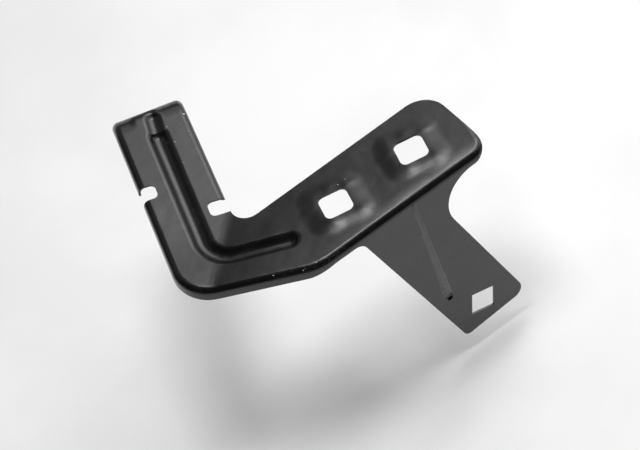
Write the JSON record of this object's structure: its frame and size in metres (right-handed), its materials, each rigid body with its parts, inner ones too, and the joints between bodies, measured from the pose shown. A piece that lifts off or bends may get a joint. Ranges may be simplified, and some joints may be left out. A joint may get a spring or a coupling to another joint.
{
  "type": "mounting bracket",
  "caption": "Folded sheet-steel bracket: a flanged strip with square fixing holes, a tab folded down from its edge, and a grooved arm with edge notches.",
  "frame": {"origin": "centre of the strip's square hole nearest the arm, level with the strip's upper face", "axes": "+X along the fold towards the strip's free end, +Y away from the tab, +Z out of the strip's upper face"},
  "size_m": [0.1117, 0.0997, 0.085],
  "materials": {
    "black_paint": "satin"
  },
  "bodies": {
    "root": {"bracket": "black_paint"}
  },
  "joints": []
}
